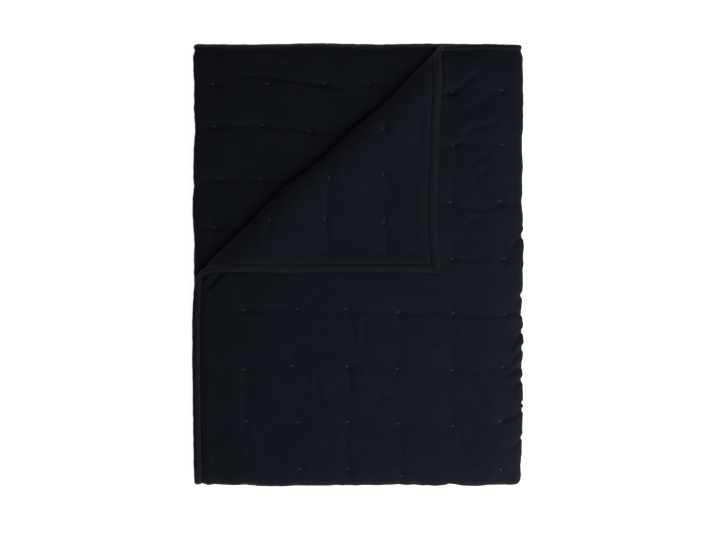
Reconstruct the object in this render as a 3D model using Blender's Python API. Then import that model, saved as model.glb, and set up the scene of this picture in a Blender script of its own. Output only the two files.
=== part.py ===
"""Quilted throw blanket: one tufted, bound cloth folded in three across and in two along,
with the free corner of its top layer turned back over a soft roll.

Each piece is drawn flat, cut along every line where the cloth bends, and then carried into place
by the folds. Metres, +Z up, +Y towards the open ends, origin at the middle of the underside.
"""

import math

import bmesh
import bpy
from mathutils import Vector

# The folded stack, over everything
FOLDED_WIDTH = 0.507
FOLDED_LENGTH = 0.677

# The cloth
SHEET_WIDTH = 1.500
LAYER = 0.0074  # quilt between two tufts
LAYER_GAP = 0.0008
BINDING_WIDTH = 0.0133
PIECE_GAP = 0.0004

# Thickness of the cloth where it is drawn in
RIM_THICKNESS = 0.0034
SEAM_THICKNESS = 0.0048
TUFT_THICKNESS = 0.0046
BINDING_THICKNESS = 0.0066
RIM_ROUND = 0.0035
SEAM_SWELL = 0.022  # from the seam to the full thickness of the quilt
BINDING_CLEARANCE = 0.0004  # of the lowest binding above what the throw lies on

# Tufts, by their places on the flat cloth
FIRST_COLUMN = 0.078
COLUMN_PITCH = 0.0790
COLUMNS = 18
FIRST_ROW = 0.0735
ROW_PITCH = 0.0832
ROWS = 15

# The turned-back corner
CREASE_ON_END = 0.403  # from the corner to the crease, along the open end
CREASE_ON_SIDE = 0.381  # and along the open side
ROLL_RADIUS = 0.011
CORNER_SLIDE = -0.033  # how far the corner slips along the crease, away from the open side
SETTLE_RUN = 0.090  # the turned-back cloth comes down from the roll over this distance

# Facets in each bend
RIGHT_FACETS = 8
LEFT_FACETS = 6
END_FACETS = 8
ROLL_FACETS = 7
SETTLE_FACETS = 3
CLOSEST_CUTS = 0.004

# Where each edge of the stack stands in (positive) from a straight line, metres.
# "at" runs from the open ends (0) to the far fold (1), or from the open side (0) to the right (1).
EDGE_TABLE = {
    "open_side": [
        {"at": 0.00, "inward": 0.0015},
        {"at": 0.10, "inward": 0.0005},
        {"at": 0.20, "inward": 0.0040},
        {"at": 0.30, "inward": 0.0018},
        {"at": 0.38, "inward": 0.0006},
        {"at": 0.51, "inward": 0.0040},
        {"at": 0.60, "inward": 0.0000},
        {"at": 0.80, "inward": 0.0008},
        {"at": 1.00, "inward": 0.0020},
    ],
    "right_fold": [
        {"at": 0.00, "inward": 0.0020},
        {"at": 0.08, "inward": 0.0000},
        {"at": 0.20, "inward": 0.0030},
        {"at": 0.42, "inward": 0.0004},
        {"at": 0.58, "inward": 0.0045},
        {"at": 0.70, "inward": 0.0022},
        {"at": 0.80, "inward": 0.0012},
        {"at": 0.92, "inward": 0.0036},
        {"at": 1.00, "inward": 0.0050},
    ],
    "open_end": [
        {"at": 0.00, "inward": 0.0005},
        {"at": 0.22, "inward": 0.0027},
        {"at": 0.40, "inward": 0.0000},
        {"at": 0.55, "inward": 0.0015},
        {"at": 0.70, "inward": 0.0000},
        {"at": 1.00, "inward": 0.0018},
    ],
    "end_fold": [
        {"at": 0.00, "inward": 0.0028},
        {"at": 0.12, "inward": 0.0010},
        {"at": 0.24, "inward": 0.0000},
        {"at": 0.48, "inward": 0.0026},
        {"at": 0.85, "inward": 0.0008},
        {"at": 1.00, "inward": 0.0030},
    ],
}

MATERIAL_TABLE = {
    "quilt_cloth": {"color": (0.0075, 0.0095, 0.0150, 1.0), "roughness": 0.85, "metallic": 0.0},
    "binding_cloth": {"color": (0.0100, 0.0115, 0.0160, 1.0), "roughness": 0.80, "metallic": 0.0},
}

# Worked out from the sizes above
LEFT = -FOLDED_WIDTH / 2
RIGHT = FOLDED_WIDTH / 2
FAR_END = -FOLDED_LENGTH / 2
OPEN_END = FOLDED_LENGTH / 2
PITCH = LAYER + LAYER_GAP
SLAB = 3 * LAYER + 2 * LAYER_GAP
STACK = 2 * SLAB + LAYER_GAP

RIGHT_CENTRE = RIGHT - SLAB / 2
LEFT_CENTRE = LEFT + PITCH / 2 + LAYER / 2
TOP_RUN = RIGHT_CENTRE - LEFT
RIGHT_ARC = math.pi * PITCH
UNDER_RUN = RIGHT_CENTRE - LEFT_CENTRE
LEFT_ARC = math.pi * PITCH / 2

END_RADIUS = (SLAB + LAYER_GAP) / 2
END_CENTRE = FAR_END + END_RADIUS + SLAB / 2
END_RUN = OPEN_END - END_CENTRE
END_ARC = math.pi * END_RADIUS
SHEET_LENGTH = 2 * END_RUN + END_ARC

CREASE_LENGTH = math.hypot(CREASE_ON_END, CREASE_ON_SIDE)
CORNER_REACH = CREASE_ON_END * CREASE_ON_SIDE / CREASE_LENGTH
ROLL_ARC = math.pi * ROLL_RADIUS
TO_CORNER = Vector((-CREASE_ON_SIDE, -CREASE_ON_END)) / CREASE_LENGTH
TO_SIDE = Vector((-CREASE_ON_END, CREASE_ON_SIDE)) / CREASE_LENGTH
TOP_LAYER = STACK - LAYER / 2


def clamp(value, low, high):
    return max(low, min(high, value))


def ease(share):
    """0 to 1 with a level start and end."""
    share = clamp(share, 0.0, 1.0)
    return share * share * (3 - 2 * share)


def blend(first, second, share):
    return first + (second - first) * share


def spread(start, length, count):
    """The ends of `count` equal steps."""
    return [start + length * step / count for step in range(count + 1)]


def thinned(cuts):
    """The cuts in order, without those too near one that comes earlier in the list."""
    kept = []
    for cut in cuts:
        if all(abs(cut - other) > CLOSEST_CUTS for other in kept):
            kept.append(cut)
    return sorted(kept)


def tuft_columns():
    return [FIRST_COLUMN + COLUMN_PITCH * column for column in range(COLUMNS)]


def tuft_rows():
    return [FIRST_ROW + ROW_PITCH * row for row in range(ROWS)]


def cuts_across():
    """Where lines along the cloth cut it: bends, band edges, tuft columns and the middles of cells."""
    top_end = TOP_RUN + RIGHT_ARC
    under_end = top_end + UNDER_RUN
    under_middle = (top_end + under_end) / 2
    fine = [at for at in tuft_columns() if at < TOP_RUN or at > under_end + LEFT_ARC]
    cuts = spread(TOP_RUN, RIGHT_ARC, RIGHT_FACETS)
    cuts += spread(under_end, LEFT_ARC, LEFT_FACETS)
    cuts += [BINDING_WIDTH + SEAM_SWELL, SHEET_WIDTH - BINDING_WIDTH - SEAM_SWELL]
    cuts += [under_middle]
    cuts += fine
    cuts += [at + COLUMN_PITCH / 2 for at in fine[:-1]]
    return thinned(cuts)


def cuts_along():
    """Where lines across the cloth cut it. The lower half is hidden, so it has few."""
    lower_start = END_RUN + END_ARC
    rows = [at for at in tuft_rows() if at < lower_start]
    cuts = spread(END_RUN, END_ARC, END_FACETS)
    cuts += [BINDING_WIDTH + SEAM_SWELL, SHEET_LENGTH - BINDING_WIDTH - SEAM_SWELL]
    cuts += rows
    cuts += [at + ROW_PITCH / 2 for at in rows]
    cuts += spread(lower_start, END_RUN, 4)[1:-1]
    return thinned(cuts)


def cuts_past_crease():
    """Distances past the crease where the turned-back corner bends."""
    settle_step = SETTLE_RUN / SETTLE_FACETS
    settling = [ROLL_ARC + settle_step * (step + 1) for step in range(SETTLE_FACETS)]
    return spread(0.0, ROLL_ARC, ROLL_FACETS) + settling


def past_crease(across, along):
    """Distance of a point of the flat cloth past the crease, towards the corner."""
    return CORNER_REACH * (1 - across / CREASE_ON_END - along / CREASE_ON_SIDE)


def tuft_pull(across, along):
    """1 at a tuft and 0 from half a cell away."""
    column = min(abs(across - at) for at in tuft_columns()) / (COLUMN_PITCH / 2)
    row = min(abs(along - at) for at in tuft_rows()) / (ROW_PITCH / 2)
    return clamp(1 - column, 0, 1) * clamp(1 - row, 0, 1)


def thickness(across, along):
    """Thickness of the cloth: rounded at the rim, drawn in at the binding's seam and at tufts."""
    inside = min(across, SHEET_WIDTH - across, along, SHEET_LENGTH - along)
    if inside < RIM_ROUND:
        return blend(RIM_THICKNESS, BINDING_THICKNESS, inside / RIM_ROUND)
    middle = (RIM_ROUND + BINDING_WIDTH) / 2
    if inside < middle:
        return BINDING_THICKNESS
    if inside < BINDING_WIDTH:
        share = (inside - middle) / (BINDING_WIDTH - middle)
        return blend(BINDING_THICKNESS, SEAM_THICKNESS, share)
    share = (inside - BINDING_WIDTH) / SEAM_SWELL
    full = blend(SEAM_THICKNESS, LAYER, clamp(share, 0, 1))
    return blend(full, TUFT_THICKNESS, tuft_pull(across, along))


def lies_on_floor(across, along):
    """True on the lowest layer, whose face is flat where the throw rests on it."""
    return across < TOP_RUN and along > END_RUN + END_ARC


def out_from_middle(across, along, side):
    """Height of the cloth's face (side 1) or back (side -1) from the middle of its thickness."""
    half = thickness(across, along) / 2
    if side > 0 and lies_on_floor(across, along):
        inside = min(across, SHEET_LENGTH - along)
        half = LAYER / 2 - (BINDING_CLEARANCE if inside < BINDING_WIDTH else 0)
    return side * half


def fold_in_three(across, out):
    """(x, height in the slab): over the top, round the right, back under, and in from the left."""
    if across < TOP_RUN:
        return LEFT + across, PITCH + out
    across -= TOP_RUN
    if across < RIGHT_ARC:
        turn = across / PITCH
        return RIGHT_CENTRE + (PITCH + out) * math.sin(turn), (PITCH + out) * math.cos(turn)
    across -= RIGHT_ARC
    if across < UNDER_RUN:
        return RIGHT_CENTRE - across, -PITCH - out
    across -= UNDER_RUN
    if across < LEFT_ARC:
        radius = PITCH / 2
        turn = across / radius
        x = LEFT_CENTRE - (radius + out) * math.sin(turn)
        return x, -radius - (radius + out) * math.cos(turn)
    return LEFT_CENTRE + across - LEFT_ARC, out


def fold_in_two(along, height):
    """(y, z) of a height in the slab, which is folded down and under at the far end."""
    if along < END_RUN:
        return OPEN_END - along, STACK / 2 + END_RADIUS + height
    along -= END_RUN
    if along < END_ARC:
        turn = along / END_RADIUS
        radius = END_RADIUS + height
        return END_CENTRE - radius * math.sin(turn), STACK / 2 + radius * math.cos(turn)
    return END_CENTRE + along - END_ARC, STACK / 2 - END_RADIUS - height


def turn_back(across, along, out):
    """(x, y, z) of a point past the crease: round the roll, then face down on the top layer."""
    past = past_crease(across, along)
    foot = Vector((across, along)) - TO_CORNER * past
    if past < ROLL_ARC:
        turn = past / ROLL_RADIUS
        reach = (ROLL_RADIUS - out) * math.sin(turn)
        height = ROLL_RADIUS - (ROLL_RADIUS - out) * math.cos(turn)
    else:
        reach = ROLL_ARC - past
        height = blend(2 * ROLL_RADIUS, PITCH, ease((past - ROLL_ARC) / SETTLE_RUN)) - out
    spot = foot + TO_CORNER * reach + TO_SIDE * (CORNER_SLIDE * past / CORNER_REACH)
    return LEFT + spot.x, OPEN_END - spot.y, TOP_LAYER + height


def inward(edge, at):
    """How far an edge of the stack stands in, between the rows of its table."""
    rows = EDGE_TABLE[edge]
    at = clamp(at, 0.0, 1.0)
    for row, following in zip(rows, rows[1:]):
        if at <= following["at"]:
            share = (at - row["at"]) / (following["at"] - row["at"])
            return blend(row["inward"], following["inward"], share)
    return rows[-1]["inward"]


def settle(x, y):
    """The uneven outline: the edges move as their tables say, and the cloth between them follows."""
    rightward = clamp((x - LEFT) / FOLDED_WIDTH, 0.0, 1.0)
    farward = clamp((OPEN_END - y) / FOLDED_LENGTH, 0.0, 1.0)
    shift_x = blend(inward("open_side", farward), -inward("right_fold", farward), rightward)
    shift_y = blend(-inward("open_end", rightward), inward("end_fold", rightward), farward)
    return x + shift_x, y + shift_y


def folded(across, along, side):
    """Where a point of the flat cloth's face or back lies in the folded throw."""
    out = out_from_middle(across, along, side)
    if past_crease(across, along) > 0:
        x, y, z = turn_back(across, along, out)
    else:
        x, height = fold_in_three(across, out)
        y, z = fold_in_two(along, height)
    x, y = settle(x, y)
    return Vector((x, y, z))


def flat_prism(corners):
    """A bmesh prism over the corners, from -1 (the back) to 1 (the face)."""
    mesh = bmesh.new()
    back = [mesh.verts.new((across, along, -1.0)) for across, along in corners]
    face = [mesh.verts.new((across, along, 1.0)) for across, along in corners]
    mesh.faces.new(reversed(back))
    mesh.faces.new(face)
    count = len(corners)
    for index in range(count):
        following = (index + 1) % count
        mesh.faces.new((back[index], back[following], face[following], face[index]))
    return mesh


def cut_flat(mesh, point, normal):
    """Cuts the flat piece with an upright plane, and keeps both sides."""
    geometry = mesh.verts[:] + mesh.edges[:] + mesh.faces[:]
    bmesh.ops.bisect_plane(mesh, geom=geometry, plane_co=point, plane_no=normal, dist=1e-6)


def cloth_piece(name, corners, material, extra_across=(), extra_along=()):
    """One piece of the throw, from its corners on the flat cloth, cut and folded."""
    mesh = flat_prism(corners)
    for across in thinned(list(extra_across) + cuts_across()):
        cut_flat(mesh, (across, 0, 0), (1, 0, 0))
    for along in thinned(list(extra_along) + cuts_along()):
        cut_flat(mesh, (0, along, 0), (0, 1, 0))
    for past in cuts_past_crease():
        spot = TO_CORNER * (past - CORNER_REACH)
        cut_flat(mesh, (spot.x, spot.y, 0), (TO_CORNER.x, TO_CORNER.y, 0))
    mesh.normal_update()
    broad = [face for face in mesh.faces if abs(face.normal.z) > 0.5]
    bmesh.ops.triangulate(mesh, faces=broad, quad_method="FIXED")
    for vertex in mesh.verts:
        vertex.co = folded(*vertex.co)
    # Two walls that face each other twist alike, so their shorter diagonals run the same way.
    walls = [face for face in mesh.faces if len(face.verts) > 3]
    bmesh.ops.triangulate(mesh, faces=walls, quad_method="SHORT_EDGE")
    # The flat cloth is laid out with its length running down the page, so folding turns it inside out.
    bmesh.ops.reverse_faces(mesh, faces=mesh.faces[:])
    data = bpy.data.meshes.new(name)
    mesh.to_mesh(data)
    mesh.free()
    data.materials.append(material)
    data.shade_smooth()
    data.set_sharp_from_angle(angle=math.radians(50))
    piece = bpy.data.objects.new(name, data)
    bpy.context.collection.objects.link(piece)
    return piece


def make_material(name):
    finish = MATERIAL_TABLE[name]
    material = bpy.data.materials.new(name)
    material.use_nodes = True
    shader = material.node_tree.nodes["Principled BSDF"]
    shader.inputs["Base Color"].default_value = finish["color"]
    shader.inputs["Roughness"].default_value = finish["roughness"]
    shader.inputs["Metallic"].default_value = finish["metallic"]
    return material


def make_quilt(material):
    """The tufted cloth inside the four bindings."""
    low = BINDING_WIDTH + PIECE_GAP / 2
    across = SHEET_WIDTH - low
    along = SHEET_LENGTH - low
    corners = [(low, low), (across, low), (across, along), (low, along)]
    cloth_piece("quilt", corners, material)


def make_bindings(material):
    """Four bands round the cloth, mitred where they meet."""
    inner = BINDING_WIDTH - PIECE_GAP / 2
    step = PIECE_GAP / 2 * math.sqrt(2)  # moves a mitre back, so that two bands stay apart
    for end, width in (("open", 0.0), ("inner", SHEET_WIDTH)):
        turn = 1 if width == 0 else -1
        outer_edge = width
        inner_edge = width + turn * inner
        corners = [
            (outer_edge, step),
            (inner_edge, inner + step),
            (inner_edge, SHEET_LENGTH - inner - step),
            (outer_edge, SHEET_LENGTH - step),
        ]
        rounding = [width + turn * RIM_ROUND, width + turn * (RIM_ROUND + BINDING_WIDTH) / 2]
        cloth_piece(f"binding_{end}_side", corners[::turn], material, extra_across=rounding)
    for end, length in (("upper", 0.0), ("lower", SHEET_LENGTH)):
        turn = 1 if length == 0 else -1
        outer_edge = length
        inner_edge = length + turn * inner
        corners = [
            (SHEET_WIDTH - step, outer_edge),
            (SHEET_WIDTH - inner - step, inner_edge),
            (inner + step, inner_edge),
            (step, outer_edge),
        ]
        rounding = [length + turn * RIM_ROUND, length + turn * (RIM_ROUND + BINDING_WIDTH) / 2]
        cloth_piece(f"binding_{end}_end", corners[::turn], material, extra_along=rounding)


def main():
    for old in list(bpy.data.objects):
        bpy.data.objects.remove(old)
    make_quilt(make_material("quilt_cloth"))
    make_bindings(make_material("binding_cloth"))


main()
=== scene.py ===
import math

import bpy
import numpy as np
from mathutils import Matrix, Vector


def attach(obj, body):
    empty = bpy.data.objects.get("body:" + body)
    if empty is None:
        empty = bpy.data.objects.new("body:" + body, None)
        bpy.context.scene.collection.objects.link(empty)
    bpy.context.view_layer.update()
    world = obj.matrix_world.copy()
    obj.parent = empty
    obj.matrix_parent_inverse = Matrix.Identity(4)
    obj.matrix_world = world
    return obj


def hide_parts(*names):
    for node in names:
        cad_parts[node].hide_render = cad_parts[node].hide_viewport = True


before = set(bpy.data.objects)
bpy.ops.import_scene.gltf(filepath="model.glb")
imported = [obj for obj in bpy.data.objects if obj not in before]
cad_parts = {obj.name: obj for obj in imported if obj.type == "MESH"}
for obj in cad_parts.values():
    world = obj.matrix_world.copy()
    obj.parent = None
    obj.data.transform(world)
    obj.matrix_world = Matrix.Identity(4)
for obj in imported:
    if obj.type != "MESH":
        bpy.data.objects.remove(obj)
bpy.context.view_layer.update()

# The throw's own sizes in metres
throw = {
    "foldedWidth": 0.507,
    "foldedLength": 0.677,
    "flatWidth": 1.500,
    "layer": 0.0074,  # thickness of the quilt between tufts
    "gap": 0.0008,  # between two layers
    "binding": 0.0133,  # width of a bound edge
    "pieceGap": 0.0004,  # between the quilt and its bindings
    "seamThick": 0.0048,  # thickness of the quilt beside its seams
    "tuftThick": 0.0046,  # and at its tufts
}

# How it is folded and how its corner is turned back
fold = {
    "rightSquare": 2.4,  # 2 is a round bend, and more is a squarer one
    "leftSquare": 2.5,
    "endSquare": 3.0,
    "creaseOnEnd": 0.3985,  # from the corner along the end to the crease
    "creaseOnSide": 0.3765,  # and along the side
    "creaseWave": 0.0007,  # how far it strays from a straight line
    "rollAtEnd": 0.0070,  # radius of the roll at the open end
    "rollAtSide": 0.0085,  # and at the open side
    "rollFoot": 1.5,  # how far back, in radii, the cloth leaves the layer below
    "rollShoulder": 3.6,  # and how far back it is level again on top
    "rollLow": 0.50,  # height, in radii, of its underneath
    "rollHigh": 2.05,  # and of its top
    "rollPinch": 0.036,  # how much shorter the roll is than the cloth it is made of
    "pinchRun": 0.028,
    "bowRun": 0.055,  # over which the cloth before the roll takes up the roll's uneven line
    "settleRun": 0.090,  # over which the turned cloth comes down onto the layer below
    "turnedShrink": 0.050,  # how much the turned cloth is drawn up by its creases
    "cornerPull": 0.0050,  # how far its corner itself is pulled out
    "cornerPullReach": 0.040,
    "cornerSlide": -0.033,  # how far the corner is swung along the crease
    "cornerLift": 0.0030,  # how far the corner stands off the layer below
    "liftFrom": 0.20,
    "liftRun": 0.08,
}

# How the stack sinks towards its edges, as shares of its height, and how its edges wander
settling = {
    "rightDroop": 0.115,  # at the folds on the right and at the far end
    "farDroop": 0.055,
    "foldDroopRun": 0.050,
    "sideDroop": 0.03,  # and at the bound edges
    "endDroop": 0.16,
    "boundDroopRun": 0.046,
    "rimDroop": 0.16,  # how much more the left part of the open end turns down at its rim
    "rimDroopRun": 0.014,
    "rimDroopTo": 0.09,  # where it starts to fade, right of the middle
    "rimDroopFade": 0.08,
    "endTuck": 0.0030,  # how far a seam comes out as its bound edge turns down
    "sideTuck": 0.0005,
    "tuckRun": 0.030,
    "swell": 0.014,  # how uneven its height is
    "swellSize": 0.11,
    "sideWobble": 0.0007,  # how far each layer stands out or in by itself
    "sideWobbleSize": 0.010,
    "endWobble": 0.0006,
    "endWobbleSize": 0.011,
    "wobbleRun": 0.030,
    "underside": 0.0004,  # how softly the lowest layer flattens where it lies
}

# How deep the cloth's relief is
relief = {
    "filling": 0.93,  # how much of the panel's loft is used
    "overfull": 0.0016,  # how far the cloth may swell past its thickness where nothing lies on it
    "limitSoftness": 0.0004,
    "bareTo": 1.04,  # how much of the middle layer is bare: 1 is up to the crease
    "bareFade": 0.06,
    "creases": {"middle": 2.0, "turned": 1.9, "top": 1.6},  # how much deeper they are, by layer
    "creaseClear": 0.004,  # where creases begin, in from the rim
    "creaseRun": 0.014,
    "creaseStop": 0.004,  # how far onto the roll the top layer's creases run
    "backFrom": 0.010,  # and where on it those of the turned-back corner begin
    "backSwell": 0.02,  # over which the back becomes free to swell there
    "creaseLips": 0.55,  # how much the cloth stands up beside a crease
    "creaseEnds": 0.15,  # how much of its depth a crease keeps at its ends
    "creaseTaper": 4,
    "creaseWander": 1.6,  # in mm
    "creaseWanderSize": 0.013,
    "seamRun": 0.009,  # over which the cloth fills out from a seam
    "overSeam": 0.0015,  # the ridge that the filling makes beside a seam
    "overSeamAt": 0.010,
    "overSeamHalf": 0.006,
    "seamRipple": 0.00060,
    "seamRippleSize": 0.0085,
    "seamRippleRun": 0.010,
    "pucker": 0.00075,  # the small folds that run out from each tuft
    "puckerReach": 0.013,
    "rumple": 0.00065,
    "rumpleSize": 0.020,
}

# Where each edge stands in from a straight line: (place along the edge from 0 to 1, metres in)
edges = {
    "openSide": [(0, 0.0026), (0.06, 0.0016), (0.12, 0.0036), (0.20, 0.0044), (0.30, 0.0024),
                 (0.38, 0.0012), (0.51, 0.0048), (0.60, 0.0002), (0.80, 0.0010), (1, 0.0030)],
    "rightFold": [(0, 0.0040), (0.08, 0.0012), (0.20, 0.0032), (0.34, 0.0036), (0.41, 0.0036),
                  (0.46, 0.0008), (0.58, 0.0045), (0.68, 0.0018), (0.76, 0.0040), (0.82, 0.0018),
                  (0.92, 0.0048), (1, 0.0060)],
    "openEnd": [(0, 0.0003), (0.15, 0.0008), (0.28, 0.0000), (0.40, -0.0010), (0.55, 0.0010),
                (0.70, -0.0004), (1, 0.0018)],
    "endFold": [(0, 0.0028), (0.12, 0.0010), (0.24, 0.0000), (0.48, 0.0026), (0.85, 0.0008),
                (1, 0.0030)],
    "roll": [(0, 0.0030), (0.08, 0.0046), (0.18, 0.0026), (0.26, 0.0044), (0.36, 0.0034), (0.44, 0.0014),
             (0.51, 0.0040), (0.55, 0.0000), (0.62, -0.0076), (0.70, -0.0042), (0.80, -0.0032),
             (0.88, -0.0060), (0.95, -0.0010), (1, 0.0010)],
}

# Worked out from the sizes above
left = -throw["foldedWidth"] / 2
right = throw["foldedWidth"] / 2
farEnd = -throw["foldedLength"] / 2
openEnd = throw["foldedLength"] / 2
flatWidth = throw["flatWidth"]
layer = throw["layer"]
pitch = layer + throw["gap"]
slab = 3 * layer + 2 * throw["gap"]
stack = 2 * slab + throw["gap"]
rightCentre = right - slab / 2
leftCentre = left + pitch / 2 + layer / 2
topRun = rightCentre - left
rightArc = math.pi * pitch
underStart = topRun + rightArc
underEnd = underStart + rightCentre - leftCentre
middleStart = underEnd + math.pi * pitch / 2
endRadius = (slab + throw["gap"]) / 2
endCentre = farEnd + endRadius + slab / 2
endRun = openEnd - endCentre
lowerStart = endRun + math.pi * endRadius
flatLength = lowerStart + endRun
creaseLength = math.hypot(fold["creaseOnEnd"], fold["creaseOnSide"])
cornerReach = fold["creaseOnEnd"] * fold["creaseOnSide"] / creaseLength
toCorner = (-fold["creaseOnSide"] / creaseLength, -fold["creaseOnEnd"] / creaseLength)
toSide = (-fold["creaseOnEnd"] / creaseLength, fold["creaseOnSide"] / creaseLength)


def ease(share):
    share = np.clip(share, 0, 1)
    return share * share * (3 - 2 * share)


def blend(first, second, share):
    return first + (second - first) * share


def softNoise(x, y, size, seed):
    # smooth and uneven, about -1 to 1, with humps of this size
    table = np.random.default_rng(seed).uniform(-1, 1, (64, 64))
    total = 0
    for scale, weight, shift in ((1.0, 0.75, 0.0), (1.9, 0.35, 17.3)):
        column = x / size * scale + shift + 200
        row = y / size * scale + shift * 2 + 200
        i = np.floor(column).astype(int)
        j = np.floor(row).astype(int)
        u = ease(column - i)
        v = ease(row - j)
        upper = blend(table[j % 64, i % 64], table[j % 64, (i + 1) % 64], u)
        lower = blend(table[(j + 1) % 64, i % 64], table[(j + 1) % 64, (i + 1) % 64], u)
        total = total + weight * blend(upper, lower, v)
    return total


def bend(share, squareness):
    # (outward, upward) round half a turn, for a share of its length from the top to the underside
    turn = np.linspace(0, math.pi / 2, 400)
    outward = np.sin(turn) ** (2 / squareness)
    upward = np.cos(turn) ** (2 / squareness)
    run = np.concatenate([[0], np.cumsum(np.hypot(np.diff(outward), np.diff(upward)))])
    run = run / run[-1] / 2
    allRun = np.concatenate([run, 1 - run[-2::-1]])
    allOut = np.concatenate([outward, outward[-2::-1]])
    allUp = np.concatenate([upward, -upward[-2::-1]])
    return np.interp(share, allRun, allOut), np.interp(share, allRun, allUp)


def foldInThree(across, out):
    # over the top, round the right, back under, and in from the left: (x, height in the slab)
    rightOut, rightUp = bend(np.clip((across - topRun) / rightArc, 0, 1), fold["rightSquare"])
    leftShare = (across - underEnd) / (middleStart - underEnd)
    leftOut, leftUp = bend(np.clip(leftShare, 0, 1), fold["leftSquare"])
    outer = pitch + out
    inner = pitch / 2 + out
    stretch = [across < topRun, across < underStart, across < underEnd, across < middleStart]
    xs = [left + across, rightCentre + outer * rightOut, rightCentre + underStart - across,
          leftCentre - inner * leftOut]
    heights = [outer, outer * rightUp, -outer, -pitch / 2 - inner * leftUp]
    x = np.select(stretch, xs, leftCentre + across - middleStart)
    return x, np.select(stretch, heights, out)


def foldInTwo(along, height):
    # the slab goes down and under at the far end: (y, z)
    endOut, endUp = bend(np.clip((along - endRun) / (lowerStart - endRun), 0, 1), fold["endSquare"])
    radius = endRadius + height
    stretch = [along < endRun, along < lowerStart]
    ys = [openEnd - along, endCentre - radius * endOut]
    zs = [stack / 2 + radius, stack / 2 + radius * endUp]
    y = np.select(stretch, ys, endCentre + along - lowerStart)
    return y, np.select(stretch, zs, stack / 2 - radius)


def alongCrease(across, along):
    # share of the crease's length, from the end to the side
    return ((across - fold["creaseOnEnd"]) * toSide[0] + along * toSide[1]) / creaseLength


def pastCrease(across, along):
    # how far a point of the flat cloth is past the crease, towards the corner
    straight = cornerReach * (1 - across / fold["creaseOnEnd"] - along / fold["creaseOnSide"])
    share = alongCrease(across, along)
    wave = np.sin(share * 9.0 + 0.7) + 0.5 * np.sin(share * 21.0 + 2.0)
    return straight + fold["creaseWave"] * wave * ease(share * 8) * ease((1 - share) * 8)


def rollPath():
    # the turned-back corner's bend, in radii: (length of cloth past the crease, outward, up, angle)
    turn = np.linspace(0, math.pi / 2, 80)
    outward = np.concatenate([1 - fold["rollFoot"] * (1 - np.sin(turn)),
                              1 - fold["rollShoulder"] * (1 - np.cos(turn[1:]))])
    upward = np.concatenate([fold["rollLow"] * (1 - np.cos(turn)),
                             fold["rollLow"] + fold["rollHigh"] * np.sin(turn[1:])])
    steps = np.hypot(np.diff(outward), np.diff(upward))
    past = 1 - fold["rollFoot"] + np.concatenate([[0], np.cumsum(steps)])
    angle = np.arctan2(np.gradient(upward), np.gradient(outward))
    return past, outward, upward, angle


roll = rollPath()


def turnBack(across, along, out, past):
    # round the roll and face down on the top layer: (x, y, z)
    footAcross = across - toCorner[0] * past
    footAlong = along - toCorner[1] * past
    share = alongCrease(footAcross, footAlong)
    radius = blend(fold["rollAtEnd"], fold["rollAtSide"], np.clip(share, 0, 1))
    pastRoll, outward, upward, angle = roll
    turns = past / radius
    beyond = past - pastRoll[-1] * radius
    settled = ease(beyond / fold["settleRun"])
    tilt = np.interp(turns, pastRoll, angle, left=0, right=math.pi)
    back = np.maximum(beyond, 0) * (1 - fold["turnedShrink"])
    reach = np.interp(turns, pastRoll, outward) * radius - back
    reach = np.where(turns < pastRoll[0], past, reach)
    fromCorner = np.hypot(across, along) / fold["cornerPullReach"]
    reach = reach - fold["cornerPull"] * np.exp(-fromCorner ** 2)
    reach = reach - inward("roll", share) * ease(1 + past / fold["bowRun"]) * (1 - settled)
    reach = reach - out * np.sin(tilt)
    height = blend(np.interp(turns, pastRoll, upward) * radius, pitch, settled)
    height = height + out * np.cos(tilt)
    height = height + fold["cornerLift"] * ease((past - fold["liftFrom"]) / fold["liftRun"])
    pinch = ease((past + (fold["rollFoot"] - 1) * fold["rollAtEnd"]) / fold["pinchRun"])
    slide = fold["cornerSlide"] * np.maximum(past, 0) / cornerReach
    slide = slide - fold["rollPinch"] * (share - 0.5) * creaseLength * pinch
    spotAcross = footAcross + toCorner[0] * reach + toSide[0] * slide
    spotAlong = footAlong + toCorner[1] * reach + toSide[1] * slide
    return left + spotAcross, openEnd - spotAlong, stack - layer / 2 + height


def inward(edge, at):
    # how far in from its straight line an edge stands, a little smoothed
    places = [place for place, _ in edges[edge]]
    depths = [depth for _, depth in edges[edge]]
    nearby = [np.interp(at + shift, places, depths) for shift in (-0.03, -0.015, 0, 0.015, 0.03)]
    return sum(nearby) / len(nearby)


def tuck(away):
    # 1 at a bound edge's seam, and 0 at its rim and well inside it
    seam = throw["binding"]
    return ease(away / seam) * (1 - ease((away - seam) / settling["tuckRun"]))


def droopAt(x, y):
    # how much thinner the stack is here, as a share of its height
    run = settling["foldDroopRun"]
    droop = settling["rightDroop"] * (1 - ease((right - x) / run))
    droop = droop + settling["farDroop"] * (1 - ease((y - farEnd) / run))
    rimDroop = settling["rimDroop"] * (1 - ease((x - settling["rimDroopTo"]) / settling["rimDroopFade"]))
    bound = [
        (x - left, settling["sideDroop"], settling["boundDroopRun"]),
        (openEnd - y, settling["endDroop"], settling["boundDroopRun"]),
        (openEnd - y, rimDroop, settling["rimDroopRun"]),
    ]
    for away, amount, run in bound:
        droop = droop + amount * np.clip(1 - away / run, 0, 1.2) ** 2
    return droop


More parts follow.
